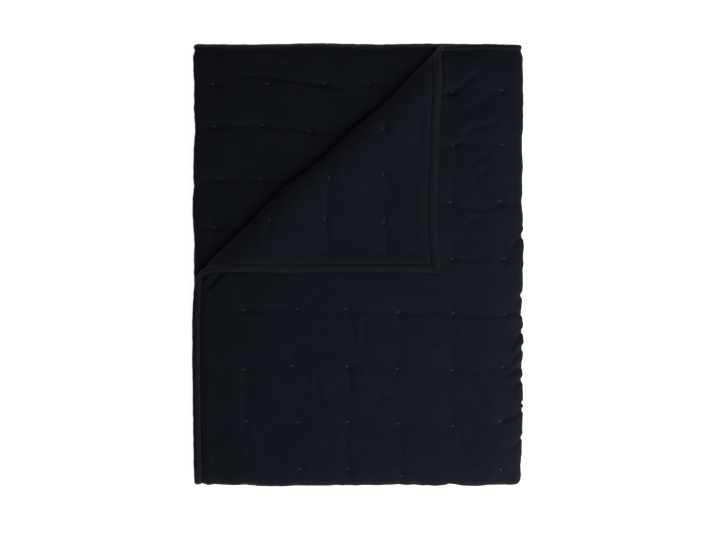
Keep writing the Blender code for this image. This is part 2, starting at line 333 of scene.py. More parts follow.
def settle(x, y, z):
    # the uneven outline, and the stack sinking a little towards its edges
    rightward = np.clip((x - left) / throw["foldedWidth"], 0, 1)
    farward = np.clip((openEnd - y) / throw["foldedLength"], 0, 1)
    shiftX = blend(inward("openSide", farward), -inward("rightFold", farward), rightward)
    shiftY = blend(-inward("openEnd", rightward), inward("endFold", rightward), farward)
    nearSide = 1 - ease(np.minimum(x - left, right - x) / settling["wobbleRun"])
    nearEnd = 1 - ease(np.minimum(y - farEnd, openEnd - y) / settling["wobbleRun"])
    sideNoise = softNoise(y, z, settling["sideWobbleSize"], 51)
    endNoise = softNoise(x, z, settling["endWobbleSize"], 52)
    shiftX = shiftX + settling["sideWobble"] * nearSide * sideNoise
    shiftX = shiftX - settling["sideTuck"] * tuck(x - left)
    shiftY = shiftY + settling["endWobble"] * nearEnd * endNoise
    shiftY = shiftY + settling["endTuck"] * tuck(openEnd - y)
    swell = settling["swell"] * softNoise(x, y, settling["swellSize"], 5)
    z = z * (1 - droopAt(x, y) + swell)
    z = (z + np.sqrt(z * z + settling["underside"] ** 2)) / 2
    return x + shiftX, y + shiftY, z


def placed(across, along, out):
    # where a point of the flat cloth lies, out from the middle of its thickness
    x, height = foldInThree(across, out)
    y, z = foldInTwo(along, height)
    past = pastCrease(across, along)
    turned = past > -fold["bowRun"]
    if turned.any():
        x[turned], y[turned], z[turned] = turnBack(
            across[turned], along[turned], out[turned], past[turned])
    return settle(x, y, z)


# The tufts, in rows and columns on the flat cloth
tufts = {
    "firstColumn": 0.078,
    "columnPitch": 0.0790,
    "columns": 18,
    "firstRow": 0.0735,
    "rowPitch": 0.0832,
    "rows": 15,
    "drift": 0.0012,  # how unevenly they were tied where no drift is given
    "lean": 0.22,  # how unevenly the folds round them lie
    "turn": 0.16,  # and how unevenly their stitches do
    "onRoll": 0.012,  # how far past the crease tufts show on the back instead of the face
    "shownTo": 1.05,  # how much of the middle layer shows its tufts: 1 is up to the crease
    "dimpleDepth": 0.0022,
    "dimpleAcross": 0.0068,
    "dimpleAlong": 0.0048,
}

# How far the tufts that show are from their places: row, first column, and mm across and along
drifts = [
    (0, 0, [(7, 7), (8, 9), (12, 14), (0, 0), (2, 0), (0, -2)]),
    (1, 0, [(10, 12), (5, 8), (0, 0), (0, 0), (5, 0), (2, -2)]),
    (2, 0, [(9, 9), (0, 0), (0, 0), (0, 0), (2, 3), (0, 1)]),
    (3, 4, [(3, 6), (4, 6)]),
    (4, 0, [(1, 1), (2, 0), (1, 1), (1, 5), (6, 6), (6, 9)]),
    (5, 0, [(0, 9), (-4, 3), (1, 5), (-1, 8), (5, 10), (3, 6)]),
    (6, 0, [(3, 4), (4, 6), (1, 7), (1, 9), (5, 12), (-1, 5)]),
    (7, 0, [(3, 13), (8, -6), (3, -5), (6, 2), (7, 14), (2, -4)]),
    (0, 12, [(16, -11), (20, -12), (30, -13), (19, -10), (10, -8), (4, -4)]),
    (1, 12, [(17, -30), (12, -33), (6, -22), (6, -20), (4, -10), (0, -4)]),
    (2, 12, [(32, -34), (11, -34), (8, -24), (4, -14), (0, -6), (0, 0)]),
    (3, 12, [(18, -42), (10, -30), (4, -16), (0, -8), (0, 0), (0, 0)]),
    (4, 12, [(10, -30), (6, -16), (0, -8), (0, 0), (0, 0), (0, 0)]),
]


def tuftDrifts():
    # metres across and along, by row and column
    rng = np.random.default_rng(11)
    off = rng.uniform(-1, 1, (tufts["rows"], tufts["columns"], 2)) * tufts["drift"]
    for row, column, places in drifts:
        off[row, column:column + len(places)] = np.array(places) / 1000
    return off


drift = tuftDrifts()
# how the folds round each tuft lie
lean = np.random.default_rng(13).normal(0, tufts["lean"], (tufts["rows"], tufts["columns"]))
columnAt = tufts["firstColumn"] + tufts["columnPitch"] * np.arange(tufts["columns"])
rowAt = tufts["firstRow"] + tufts["rowPitch"] * np.arange(tufts["rows"])
print("tufts set out:", len(columnAt), "columns and", len(rowAt), "rows")


def cellAt(across, along):
    # a place on the flat cloth, counted in columns and rows of tufts
    column = (across - tufts["firstColumn"]) / tufts["columnPitch"]
    return column, (along - tufts["firstRow"]) / tufts["rowPitch"]


def driftAt(across, along):
    # the drift of the tufts round a place on their even grid
    column, row = cellAt(across, along)
    column = np.clip(column, 0, tufts["columns"] - 1.001)
    row = np.clip(row, 0, tufts["rows"] - 1.001)
    i, j = row.astype(int), column.astype(int)
    v, u = (row - i)[..., None], (column - j)[..., None]
    upper = blend(drift[i, j], drift[i, j + 1], u)
    lower = blend(drift[i + 1, j], drift[i + 1, j + 1], u)
    return blend(upper, lower, v)


def evenPlace(across, along):
    # where a place on the cloth would be if every tuft stood in its place
    evenAcross, evenAlong = across, along
    for _ in range(4):
        off = driftAt(evenAcross, evenAlong)
        evenAcross, evenAlong = across - off[..., 0], along - off[..., 1]
    return evenAcross, evenAlong


def fromEdge(across, along):
    # how far in from the cloth's nearest edge
    fromSide = np.minimum(across, flatWidth - across)
    return np.minimum(fromSide, np.minimum(along, flatLength - along))


# One panel of the quilt, tied at its tufts and pressed out by its filling
panel = {
    "columns": 8,
    "rows": 9,
    "perColumn": 12,  # mesh steps from one tuft to the next
    "perRow": 13,
    "startSteps": 9,
    "endSteps": 5,
    "repeatColumns": 6,  # whole cells after which it is laid again
    "repeatRows": 7,
    "turnColumns": 4,  # cells of its second laying, before it is turned over
    "slackAcross": 0.004,
    "slackAlong": 0.010,
    "unevenness": 0.00009,
    "waves": 60,  # that the unevenness is made of
    "waveTurns": (60, 260),  # in radians to the metre
    "seed": 3,
    "frames": 30,
}

# How its cloth behaves while it fills
clothSettings = {
    "quality": 5,
    "mass": 0.05,
    "tension_stiffness": 15,
    "compression_stiffness": 15,
    "shear_stiffness": 5,
    "bending_stiffness": 0.05,
    "tension_damping": 1,
    "compression_damping": 1,
    "shear_damping": 1,
    "bending_damping": 0.1,
    "air_damping": 1,
    "use_pressure": True,
    "uniform_pressure_force": 5.0,
    "vertex_group_mass": "held",
}


def panelLines():
    # where the panel's mesh lines lie on the flat cloth
    stepAcross = tufts["columnPitch"] / panel["perColumn"]
    stepAlong = tufts["rowPitch"] / panel["perRow"]
    countAcross = panel["startSteps"] + panel["perColumn"] * (panel["columns"] - 1) + panel["endSteps"]
    countAlong = panel["startSteps"] + panel["perRow"] * (panel["rows"] - 1) + panel["endSteps"]
    across = tufts["firstColumn"] + stepAcross * (np.arange(countAcross + 1) - panel["startSteps"])
    along = tufts["firstRow"] + stepAlong * (np.arange(countAlong + 1) - panel["startSteps"])
    return across, along


def handLoft(across, along):
    # the height of a face where the filling isn't simulated
    column, row = [np.abs(np.sin(math.pi * cell)) for cell in cellAt(across, along)]
    near = np.hypot(column, row)
    rise = 1 - 0.8 * np.exp(-near * 3) - 0.2 * np.exp(-row * 5) - 0.1 * np.exp(-column * 5)
    return throw["tuftThick"] / 2 + 0.0030 * rise + 0.0004 * softNoise(across, along, 0.02, 8)


def rimOf(index):
    # the points round a grid's edge, in order
    return list(index[0, :-1]) + list(index[:-1, -1]) + list(index[-1, :0:-1]) + list(index[:0:-1, 0])


def unevenSheets(across, along):
    # how far the panel's two sheets stand off flat before they fill
    rng = np.random.default_rng(panel["seed"])
    uneven = np.zeros((2,) + across.shape)
    for _ in range(panel["waves"]):
        for sheet in (0, 1):
            turn = rng.uniform(0, math.pi)
            wave = rng.uniform(*panel["waveTurns"])
            phase = rng.uniform(0, 2 * math.pi)
            reach = across * np.cos(turn) * 0.5 + along * np.sin(turn)
            uneven[sheet] += panel["unevenness"] * np.sin(reach * wave + phase)
    return uneven


def panelMesh(acrossAt, alongAt):
    # two sheets joined at their edges: (mesh, how many points each sheet has, which points are held)
    across, along = np.meshgrid(acrossAt, alongAt)
    uneven = unevenSheets(across, along)
    held = np.zeros(across.shape, bool)
    held[[0, -1], :] = True
    held[:, [0, -1]] = True
    rowsHeld = panel["startSteps"] + panel["perRow"] * np.arange(panel["rows"])
    columnsHeld = panel["startSteps"] + panel["perColumn"] * np.arange(panel["columns"])
    held[np.ix_(rowsHeld, columnsHeld)] = True
    half = throw["tuftThick"] / 2
    uneven[:, held] = 0
    face = np.stack([across, -along, half + uneven[0]], -1).reshape(-1, 3)
    back = np.stack([across, -along, -half - uneven[1]], -1).reshape(-1, 3)
    count = across.size
    index = np.arange(count).reshape(across.shape)
    a, b, c, d = index[:-1, :-1], index[1:, :-1], index[1:, 1:], index[:-1, 1:]
    faceQuads = np.stack([a, b, c, d], -1).reshape(-1, 4)
    backQuads = np.stack([a, d, c, b], -1).reshape(-1, 4) + count
    rim = rimOf(index)
    wall = [(p, q, q + count, p + count) for p, q in zip(rim, rim[1:] + rim[:1])]
    mesh = bpy.data.meshes.new("panel")
    faces = faceQuads.tolist() + backQuads.tolist() + wall
    mesh.from_pydata(np.concatenate([face, back]), [], faces)
    return mesh, count, np.nonzero(held.ravel())[0]


def simulateLoft(acrossAt, alongAt):
    # the heights of the panel's face and back above the middle of the quilt
    mesh, count, held = panelMesh(acrossAt, alongAt)
    body = bpy.data.objects.new("panel", mesh)
    bpy.context.collection.objects.link(body)
    body.shape_key_add(name="tied")
    cut = body.shape_key_add(name="cut")
    flat = np.empty(len(mesh.vertices) * 3)
    mesh.vertices.foreach_get("co", flat)
    flat = flat.reshape(-1, 3) * (1 + panel["slackAcross"], 1 + panel["slackAlong"], 1)
    cut.data.foreach_set("co", flat.ravel())
    group = body.vertex_groups.new(name="held")
    group.add([int(n) for n in held] + [int(n) + count for n in held], 1.0, "REPLACE")
    cloth = body.modifiers.new("cloth", "CLOTH")
    for key, value in clothSettings.items():
        setattr(cloth.settings, key, value)
    cloth.settings.rest_shape_key = cut
    cloth.settings.effector_weights.gravity = 0
    cloth.collision_settings.use_collision = False
    cloth.collision_settings.use_self_collision = False
    cloth.point_cache.frame_end = panel["frames"] + 1
    scene = bpy.context.scene
    for step in range(1, panel["frames"] + 1):
        scene.frame_set(step)
    filled = body.evaluated_get(bpy.context.evaluated_depsgraph_get()).to_mesh()
    points = np.empty(len(filled.vertices) * 3)
    filled.vertices.foreach_get("co", points)
    heights = points.reshape(-1, 3)[:, 2]
    bpy.data.objects.remove(body)
    scene.frame_set(1)
    shape = (len(alongAt), len(acrossAt))
    return heights[:count].reshape(shape), -heights[count:].reshape(shape)


def makeLoft():
    acrossAt, alongAt = panelLines()
    return simulateLoft(acrossAt, alongAt)
    across, along = np.meshgrid(acrossAt, alongAt)
    return handLoft(across, along), handLoft(across + 0.3, along + 0.2)


loft = makeLoft()
print("quilt filled: loft", [round(float(np.median(side)) * 1000, 2) for side in loft], "mm")


def splineSample(field, column, row):
    # the smooth height of a field at a place given in its steps
    limitRow, limitColumn = field.shape
    i, j = np.floor(row).astype(int), np.floor(column).astype(int)
    v, u = row - i, column - j
    total = 0
    for n, down in enumerate(splineWeights(v), -1):
        for m, over in enumerate(splineWeights(u), -1):
            picked = field[np.clip(i + n, 0, limitRow - 1), np.clip(j + m, 0, limitColumn - 1)]
            total = total + down * over * picked
    return total


def splineWeights(t):
    # of the four neighbours of a place, for its share of the way between the middle two
    return ((1 - t) ** 3 / 6, (3 * t ** 3 - 6 * t ** 2 + 4) / 6,
            (-3 * t ** 3 + 3 * t ** 2 + 3 * t + 1) / 6, t ** 3 / 6)


def loftAt(across, along, side):
    # the panel laid over the whole cloth: shifted by whole cells, and turned over past the middle
    field = loft[0] if side > 0 else loft[1]
    across, along = evenPlace(across, along)
    column, row = cellAt(across, along)
    turned, _ = cellAt(flatWidth - across, along)
    again = panel["repeatColumns"] + 0.5
    column = np.select([column < again, column < again + panel["turnColumns"]],
                       [column, column - panel["repeatColumns"]], turned)
    row = np.where(row < panel["repeatRows"] + 0.5, row, row - panel["repeatRows"])
    return splineSample(field, column * panel["perColumn"] + panel["startSteps"],
                        row * panel["perRow"] + panel["startSteps"])


# Creases that the throw has taken from lying folded, as the stack is seen from above, in mm: depth,
# half width, and the path's places to the right of and down from the stack's upper left corner
creases = {
    "middle": [
        (2.2, 5, [(60, 49), (92, 50), (119, 53), (160, 57), (200, 64), (242, 73)]),
        (1.2, 4, [(250, 60), (272, 62), (300, 66)]),
        (1.3, 5, [(4, 128), (40, 126), (84, 127), (102, 125), (150, 130), (182, 136), (215, 138)]),
        (1.3, 5, [(108, 155), (124, 163), (142, 176)]),
        (1.2, 5, [(4, 210), (40, 209), (103, 208), (140, 207)]),
        (1.1, 5, [(2, 283), (30, 281), (64, 281)]),
        (0.7, 6, [(96, 30), (130, 34), (170, 31)]),
        (0.6, 6, [(200, 78), (225, 84), (262, 82)]),
        (0.7, 5, [(176, 132), (200, 148), (214, 150)]),
        (0.4, 9, [(20, 165), (60, 170), (96, 165)]),
        (0.4, 8, [(30, 240), (60, 246), (80, 244)]),
    ],
    "turned": [
        (0.7, 4, [(206, 206), (205, 260), (207, 330)]),
        (0.9, 4, [(298, 278), (297, 310), (299, 338)]),
        (1.2, 4, [(290, 120), (296, 128), (297, 140)]),
        (0.9, 4, [(292, 196), (299, 210), (302, 226)]),
        (0.9, 4, [(113, 270), (118, 280), (120, 290)]),
        (1.0, 4, [(202, 272), (207, 280), (211, 292)]),
        (0.5, 7, [(320, 275), (335, 300), (345, 330)]),
    ],
    "top": [
        (3.1, 5, [(50, 347), (36, 361), (20, 376)]),
        (0.9, 4.5, [(14, 408), (45, 406), (80, 408), (118, 406), (158, 407)]),
        (0.8, 4.5, [(204, 408), (236, 407), (262, 409)]),
        (1.3, 5, [(306, 410), (330, 414), (356, 410), (397, 412)]),
        (1.1, 4.5, [(397, 412), (430, 416), (452, 417), (475, 413), (503, 412)]),
        (0.6, 5, [(30, 498), (78, 499), (116, 496), (153, 494)]),
        (0.9, 5, [(153, 493), (170, 500), (178, 520)]),
        (0.6, 5, [(225, 494), (250, 495), (313, 497)]),
        (0.8, 5, [(380, 498), (398, 500), (430, 500), (474, 496)]),
        (1.3, 5, [(236, 408), (243, 430), (250, 462)]),
        (0.7, 4, [(262, 420), (262, 440), (258, 466)]),
        (1.1, 5, [(236, 494), (241, 516), (242, 534)]),
        (0.6, 5, [(236, 578), (232, 600), (240, 622)]),
        (0.9, 6, [(300, 376), (262, 372), (250, 382)]),
        (0.5, 6, [(314, 497), (334, 516), (350, 540)]),
        (0.6, 6, [(315, 580), (340, 598), (380, 600)]),
        (0.5, 5, [(315, 581), (322, 610), (318, 640)]),
        (1.5, 6, [(382, 79), (400, 74), (420, 60), (440, 44)]),
        (1.0, 4, [(380, 82), (396, 75), (412, 76)]),
        (0.9, 7, [(404, 112), (436, 96), (470, 70)]),
        (1.6, 5, [(413, 140), (436, 128), (471, 120)]),
        (1.6, 4, [(384, 158), (400, 157), (418, 148)]),
        (1.3, 4, [(428, 209), (440, 200), (452, 193)]),
        (0.8, 6, [(410, 196), (436, 180), (462, 160)]),
        (1.4, 4.5, [(380, 247), (398, 245), (420, 252), (440, 255), (474, 246), (503, 244)]),
        (0.7, 6, [(408, 285), (432, 268), (452, 262)]),
        (1.1, 4.5, [(384, 330), (398, 329), (430, 332), (452, 324)]),
        (1.1, 5, [(474, 329), (490, 324), (504, 316)]),
        (0.5, 6, [(460, 350), (476, 358), (500, 344)]),
        (2.6, 4, [(512, 286), (498, 300), (489, 311)]),
        (2.2, 3.5, [(512, 378), (502, 386), (494, 398)]),
        (2.4, 4, [(514, 404), (503, 412), (482, 413)]),
        (2.9, 4, [(512, 432), (500, 446), (484, 470)]),
        (2.4, 4, [(512, 458), (500, 472), (480, 492)]),
        (2.9, 4, [(512, 486), (494, 500), (474, 509)]),
        (2.3, 4, [(512, 508), (497, 520), (486, 532)]),
        (3.0, 4, [(512, 556), (490, 568), (468, 579)]),
        (2.2, 3, [(510, 546), (500, 552), (492, 552)]),
        (1.8, 4, [(512, 596), (500, 604), (486, 622)]),
        (0.8, 4, [(474, 650), (490, 655), (503, 652)]),
        (0.5, 5, [(82, 578), (110, 580), (161, 578)]),
        (0.5, 5, [(161, 579), (176, 592), (182, 612)]),
        (0.5, 5, [(118, 407), (124, 440), (116, 470), (117, 495)]),
        (0.5, 5, [(194, 494), (190, 530), (197, 560), (194, 577)]),
        (0.6, 5, [(312, 412), (320, 444), (314, 470)]),
        (0.6, 5, [(396, 413), (402, 440), (396, 470), (398, 498)]),
        (0.5, 5, [(396, 500), (390, 530), (397, 556), (396, 580)]),
        (0.4, 5, [(78, 498), (86, 530), (80, 560), (81, 578)]),
        (0.6, 5, [(398, 582), (410, 600), (412, 626)]),
        (0.5, 5, [(314, 498), (306, 520), (310, 546)]),
        (0.5, 5, [(398, 246), (392, 276), (399, 304), (398, 329)]),
        (0.5, 5, [(474, 246), (480, 270), (474, 300), (476, 327)]),
        (0.4, 5, [(398, 158), (404, 186), (396, 214), (398, 245)]),
        (0.6, 6, [(420, 470), (440, 486), (452, 506)]),
        (0.5, 6, [(120, 424), (142, 436), (150, 456)]),
        (0.4, 6, [(28, 430), (44, 446), (50, 470)]),
        (0.5, 6, [(270, 510), (284, 530), (286, 556)]),
        (0.4, 6, [(60, 600), (84, 616), (96, 640)]),
        (0.4, 6, [(240, 600), (262, 622), (270, 646)]),
    ],
}


def alongPath(places, path):
    # (distance from a path, share of its length at its nearest point)
    lengths = np.hypot(*np.diff(path, axis=0).T)
    starts = np.concatenate([[0], np.cumsum(lengths)])
    nearest = np.full(len(places), 1e9)
    share = np.zeros(len(places))
    for n, (a, b) in enumerate(zip(path, path[1:])):
        t = np.clip(((places - a) @ (b - a)) / (lengths[n] ** 2), 0, 1)
        away = np.hypot(*(places - a - t[:, None] * (b - a)).T)
        closer = away < nearest
        nearest = np.where(closer, away, nearest)
        share = np.where(closer, (starts[n] + t * lengths[n]) / starts[-1], share)
    return nearest, share


def creaseHeight(on, x, y):
    # how far the creases of a layer draw its surface in (negative) or push it out, in metres
    wander, size = relief["creaseWander"], relief["creaseWanderSize"]
    rightward = (x - left) * 1000 + wander * softNoise(x, y, size, 21)
    downward = (openEnd - y) * 1000 + wander * softNoise(x, y, size, 22)
    places = np.stack([rightward, downward], -1)
    total = np.zeros(x.shape)
    for deep, wide, path in creases[on]:
        path = np.array(path, float)
        low, high = path.min(0) - wide * 4, path.max(0) + wide * 4
        near = ((places > low) & (places < high)).all(-1)
        if not near.any():
            continue
        away, share = alongPath(places[near], path)
        taper = ease(np.minimum(share, 1 - share) * relief["creaseTaper"] + relief["creaseEnds"])
        ratio = (away / wide) ** 2
        depth = deep / 1000 * relief["creases"][on] * taper
        total[near] -= depth * (1 - relief["creaseLips"] * ratio) * np.exp(-ratio)
    return total


def revealedBy(across, along):
    # of the middle layer: less than 1 where the corner that is turned back leaves it bare
    return (across - middleStart) / fold["creaseOnEnd"] + along / fold["creaseOnSide"]


def showing(across, along, side):
    # 1 where the face or the back can swell, and 0 where another layer lies on it
    bare = ease((relief["bareTo"] - revealedBy(across, along)) / relief["bareFade"])
    onBack = ease(pastCrease(across, along) / relief["backSwell"])
    shown = np.where((across > underEnd) & (side > 0), bare, 1.0 if side > 0 else onBack)
    hidden = ((across > underStart) & (across < underEnd)) | (along > lowerStart)
    return np.where(hidden, 0, shown)


def tuftPull(across, along):
    # (the small folds round the nearest tuft, the dimple that its stitch makes)
    evenAcross, evenAlong = evenPlace(across, along)
    column = np.abs(evenAcross[..., None] - columnAt).argmin(-1)
    row = np.abs(evenAlong[..., None] - rowAt).argmin(-1)
    offAcross = evenAcross - columnAt[column]
    offAlong = evenAlong - rowAt[row]
    leaning = lean[row, column]
    turn = np.arctan2(offAlong, offAcross) + leaning
    # four narrow folds, made uneven by three broad ones
    spokes = ((1 + np.cos(4 * turn)) / 2) ** 3 - 0.3 + 0.45 * np.cos(3 * turn + leaning * 9)
    share = np.hypot(offAcross, offAlong) / relief["puckerReach"]
    near = (offAcross / tufts["dimpleAcross"]) ** 2 + (offAlong / tufts["dimpleAlong"]) ** 2
    folds = relief["pucker"] * spokes * share * np.exp(1 - share * 1.6)
    return folds, tufts["dimpleDepth"] * np.exp(-near)


def halfThickness(across, along, side):
    # of the quilt, from its middle to its face (side 1) or its back (side -1)
    inside = fromEdge(across, along) - throw["binding"]
    seam = ease(inside / relief["seamRun"])
    low = throw["tuftThick"] / 2
    lofted = low + (loftAt(across, along, side) - low) * relief["filling"]
    most = layer / 2 + relief["overfull"] * showing(across, along, side)
    soft = relief["limitSoftness"]
    lofted = most - soft * np.log1p(np.exp((most - lofted) / soft))
    half = blend(throw["seamThick"] / 2 - throw["pieceGap"] / 2, lofted, seam)
    ripple = softNoise(across, along, relief["seamRippleSize"], 31)
    ripple = ripple * np.exp(-np.maximum(inside, 0) / relief["seamRippleRun"])
    rumple = softNoise(across, along * 1.5, relief["rumpleSize"], 33 + side)
    folds, dimple = tuftPull(across, along)
    half = half + (relief["seamRipple"] * ripple + relief["rumple"] * rumple - folds) * seam - dimple
    beside = (inside - relief["overSeamAt"]) / relief["overSeamHalf"]
    return half + relief["overSeam"] * np.exp(-beside ** 2)


def surface(across, along, out, side):
    # the final place of points on the face or the back, with the creases of the layers that show
    x, y, z = placed(across, along, out)
    clear = ease((fromEdge(across, along) - relief["creaseClear"]) / relief["creaseRun"])
    past = pastCrease(across, along)
    upper = along < lowerStart
    layers = {"turned": past > relief["backFrom"]}
    if side > 0:
        clear = clear * ease(1 - past / relief["creaseStop"])
        layers = {
            "top": (past < relief["creaseStop"]) & (across < underStart) & upper,
            "middle": (across > underEnd) & upper,
        }
    shift = np.zeros(x.shape)
    for on, which in layers.items():
        if which.any():
            shift[which] = creaseHeight(on, x[which], y[which]) * clear[which]
    return placed(across, along, out + side * shift)


def leafCells(wanted):
    # cells as fine as each place wants: wanted holds 1, 2, 4 or 8 for each of the finest cells
    rowCount, columnCount = wanted.shape
    waiting = np.ones((rowCount // 8, columnCount // 8), bool)
    leaves = []
    for size in (8, 4, 2, 1):
        blocks = wanted.reshape(rowCount // size, size, columnCount // size, size)
        keep = waiting & (blocks.min(axis=(1, 3)) >= size)
        leaves += [(i * size, j * size, size) for i, j in np.argwhere(keep)]
        waiting = (waiting & ~keep).repeat(2, 0).repeat(2, 1)
    return leaves


def sheetFaces(wanted):
    # (node indices or -1, faces) of a graded grid, its faces running left, down, right and up
    leaves = leafCells(wanted)
    used = np.zeros((wanted.shape[0] + 1, wanted.shape[1] + 1), bool)
    for i, j, size in leaves:
        used[i:i + size + 1:size, j:j + size + 1:size] = True
    index = np.full(used.shape, -1)
    index[used] = np.arange(used.sum())
    faces = []
    for i, j, size in leaves:
        if size == 1:
            faces.append((index[i, j], index[i + 1, j], index[i + 1, j + 1], index[i, j + 1]))
            continue
        ring = list(index[i:i + size, j]) + list(index[i + size, j:j + size])
        ring += list(index[i + size:i:-1, j + size]) + list(index[i, j + size:j:-1])
        faces.append(tuple(node for node in ring if node >= 0))
    return index, faces


def knots(stretches):
    # grid lines over stretches of (length, cells)
    lines = [0.0]
    for length, count in stretches:
        start = lines[-1]
        lines += [start + length * (n + 1) / count for n in range(count)]
    return np.array(lines)


# The quilt's cells, and where they can be coarse
grid = {
    "topCells": 192,
    "rightCells": 16,
    "underCells": 96,
    "leftCells": 16,
    "middleCells": 168,
    "upperCells": 256,
    "endCells": 16,
    "lowerCells": 128,
    "carryAcross": 0.004,  # how far fine cells run on past a bend
    "carryAlong": 0.006,
    "fineTo": 1.03,  # how much of the middle layer is fine: 1 is up to the crease
    "coverFrom": 0.035,  # how far before the crease the turned-back corner hides the top layer
    "coverInset": 0.030,
    "faceTo": 0.045,  # how far past the crease the face still shows
    "backFrom": 0.012,  # and how far before it the back is fine
}

seamAt = throw["binding"] + throw["pieceGap"] / 2
acrossLines = seamAt + knots([
    (topRun - seamAt, grid["topCells"]),
    (rightArc, grid["rightCells"]),
    (underEnd - underStart, grid["underCells"]),
    (middleStart - underEnd, grid["leftCells"]),
    (flatWidth - seamAt - middleStart, grid["middleCells"]),
])
alongLines = seamAt + knots([
    (endRun - seamAt, grid["upperCells"]),
    (lowerStart - endRun, grid["endCells"]),
    (endRun - seamAt, grid["lowerCells"]),
])

# How rubbed the cloth is, with painted shade on the middle layer: how much by each cause, and over how
# many metres
rubbingAndShade = {
    "seam": (0.55, 0.004),
    "roll": (0.35, 0.014),
    "rollAt": 0.017,  # past the crease
    "sideFold": (0.55, 0.020),
    "farFold": (0.45, 0.024),
    "even": 0.75,
    "patchy": 0.35,
    "patchSize": 0.012,
    "middleWearAndShade": 0.3,  # share of it on the middle layer, which lies sheltered from wear; the darker colour this leaves there is also painted shade
}


def linkPiece(name, mesh, material):
    mesh.materials.clear()
    mesh.materials.append(material)
    mesh.shade_smooth()
    piece = bpy.data.objects.new(name, mesh)
    bpy.context.collection.objects.link(piece)
    return piece


def storeFlat(mesh, across, along):
    # the flat cloth's own metres as a UV map, so that the weave follows every fold
    corners = np.empty(len(mesh.loops), int)
    mesh.loops.foreach_get("vertex_index", corners)
    layerUv = mesh.uv_layers.new(name="flatCloth")
    layerUv.data.foreach_set("uv", np.stack([across[corners], along[corners]], -1).ravel())


def rubbedBy(cause, away):
    most, run = rubbingAndShade[cause]
    return most * np.exp(-(away / run) ** 2)


def storeWearAndShade(mesh, across, along):
    # how rubbed each place is: most at the seams and where the cloth folds, and kept low on the middle
    # layer as painted shade
    wearShade = rubbedBy("seam", fromEdge(across, along) - throw["binding"])
    wearShade = wearShade + rubbedBy("roll", pastCrease(across, along) - rubbingAndShade["rollAt"])
    wearShade = wearShade + rubbedBy("sideFold", across - (topRun + underStart) / 2)
    wearShade = wearShade + rubbedBy("sideFold", across - (underEnd + middleStart) / 2)
    wearShade = wearShade + rubbedBy("farFold", along - (endRun + lowerStart) / 2)
    patches = softNoise(across, along, rubbingAndShade["patchSize"], 41)
    wearShade = wearShade * (rubbingAndShade["even"] + rubbingAndShade["patchy"] * patches)
    # painted shade: the middle layer gets less of the lighter worn colour, so it is darker, standing in
    # for the shade it lies in
    wearShade = wearShade * np.where(across > middleStart, rubbingAndShade["middleWearAndShade"], 1)
    stored = mesh.attributes.new("wearAndShade", "FLOAT", "POINT")
    stored.data.foreach_set("value", np.clip(wearShade, 0, 1).astype(np.float32))


def wantedCells(side):
    # how fine each part of the quilt's face or back has to be
    acrossMiddles = (acrossLines[1:] + acrossLines[:-1]) / 2
    alongMiddles = (alongLines[1:] + alongLines[:-1]) / 2
    across, along = np.meshgrid(acrossMiddles, alongMiddles)
    past = pastCrease(across, along)
    carry = grid["carryAcross"]
    onRight = (across >= topRun) & (across < underStart)
    wanted = np.full(across.shape, 8)
    if side > 0:
        top = (across < underStart + carry) & (along < lowerStart + grid["carryAlong"])
        wanted[top & ~covered(across, along, past)] = 1
        wanted[(across < topRun) & (along >= lowerStart)] = 2
        wanted[onRight] = 1
        onLeft = across >= underEnd - carry
        wanted[onLeft & (across < middleStart + carry)] = 2
        wanted[onLeft & (across < middleStart) & (along < endRun)] = 1
        wanted[(across >= middleStart) & (revealedBy(across, along) < grid["fineTo"])] = 1
        wanted[past > grid["faceTo"]] = 8
    else:
        wanted[past > -grid["backFrom"]] = 1
        wanted[onRight] = 4
    wanted[[0, -1], :] = 1
    wanted[:, [0, -1]] = 1
    return wanted


def covered(across, along, past):
    # true under the turned-back corner, well inside its edges
    backAcross = across - 2 * toCorner[0] * past
    backAlong = along - 2 * toCorner[1] * past
    inset = grid["coverInset"]
    return (past < -grid["coverFrom"]) & (backAcross > inset) & (backAlong > inset)


def makeQuilt(material):
    # the face and the back, joined at their rims
    points, flats, faces, rims = [], [], [], []
    start = 0
    for side in (1, -1):
        index, sideFaces = sheetFaces(wantedCells(side))
        i, j = np.nonzero(index >= 0)
        across, along = acrossLines[j], alongLines[i]
        out = side * halfThickness(across, along, side)
        points.append(np.stack(surface(across, along, out, side), -1))
        flats.append(np.stack([across, along], -1))
        faces += [tuple(node + start for node in face[::side]) for face in sideFaces]
        rims.append([node + start for node in rimOf(index)])
        start += len(i)
    faceRim, backRim = rims
    for k in range(len(faceRim)):
        following = (k + 1) % len(faceRim)
        faces.append((faceRim[k], faceRim[following], backRim[following], backRim[k]))
    flats = np.concatenate(flats)
    mesh = bpy.data.meshes.new("quiltedCloth")
    mesh.from_pydata(np.concatenate(points), [], faces)
    storeFlat(mesh, flats[:, 0], flats[:, 1])
    storeWearAndShade(mesh, flats[:, 0], flats[:, 1])
    print("quilt:", len(mesh.vertices), "points,", sum(len(f) - 2 for f in faces), "triangles")
    return linkPiece("quiltedCloth", mesh, material)


# Binding strips
binding = {
    "rimRound": 0.0044,
    "fullness": 0.0041,  # half thickness in the middle of the band
    "seamHalf": 0.0018,
    "fillsBy": 1.3,  # above 1 it is full before the round of its rim
    "flatPoints": 7,
    "rimPoints": 6,
    "mitreRun": 0.040,
}


def bandProfile():
    # (distance in from the rim, half thickness) from the seam to the rim
    inner = throw["binding"] - throw["pieceGap"] / 2
    rim = binding["rimRound"]
    turn = np.linspace(0, math.pi / 2, binding["rimPoints"])
    rimPart = [(rim * (1 - math.sin(t)), math.cos(t)) for t in turn]
    count = binding["flatPoints"]
    flatPart = [(inner - (inner - rim) * n / count, 1.0) for n in range(count)]
    profile = []
    for inside, share in flatPart + rimPart:
        rise = np.clip((inner - inside) / (inner - rim), 0, 1)
        filled = math.sin(min(rise * binding["fillsBy"], 1) * math.pi / 2)
        half = blend(binding["seamHalf"], binding["fullness"], filled)
        profile.append((inside, half * share))
    return profile


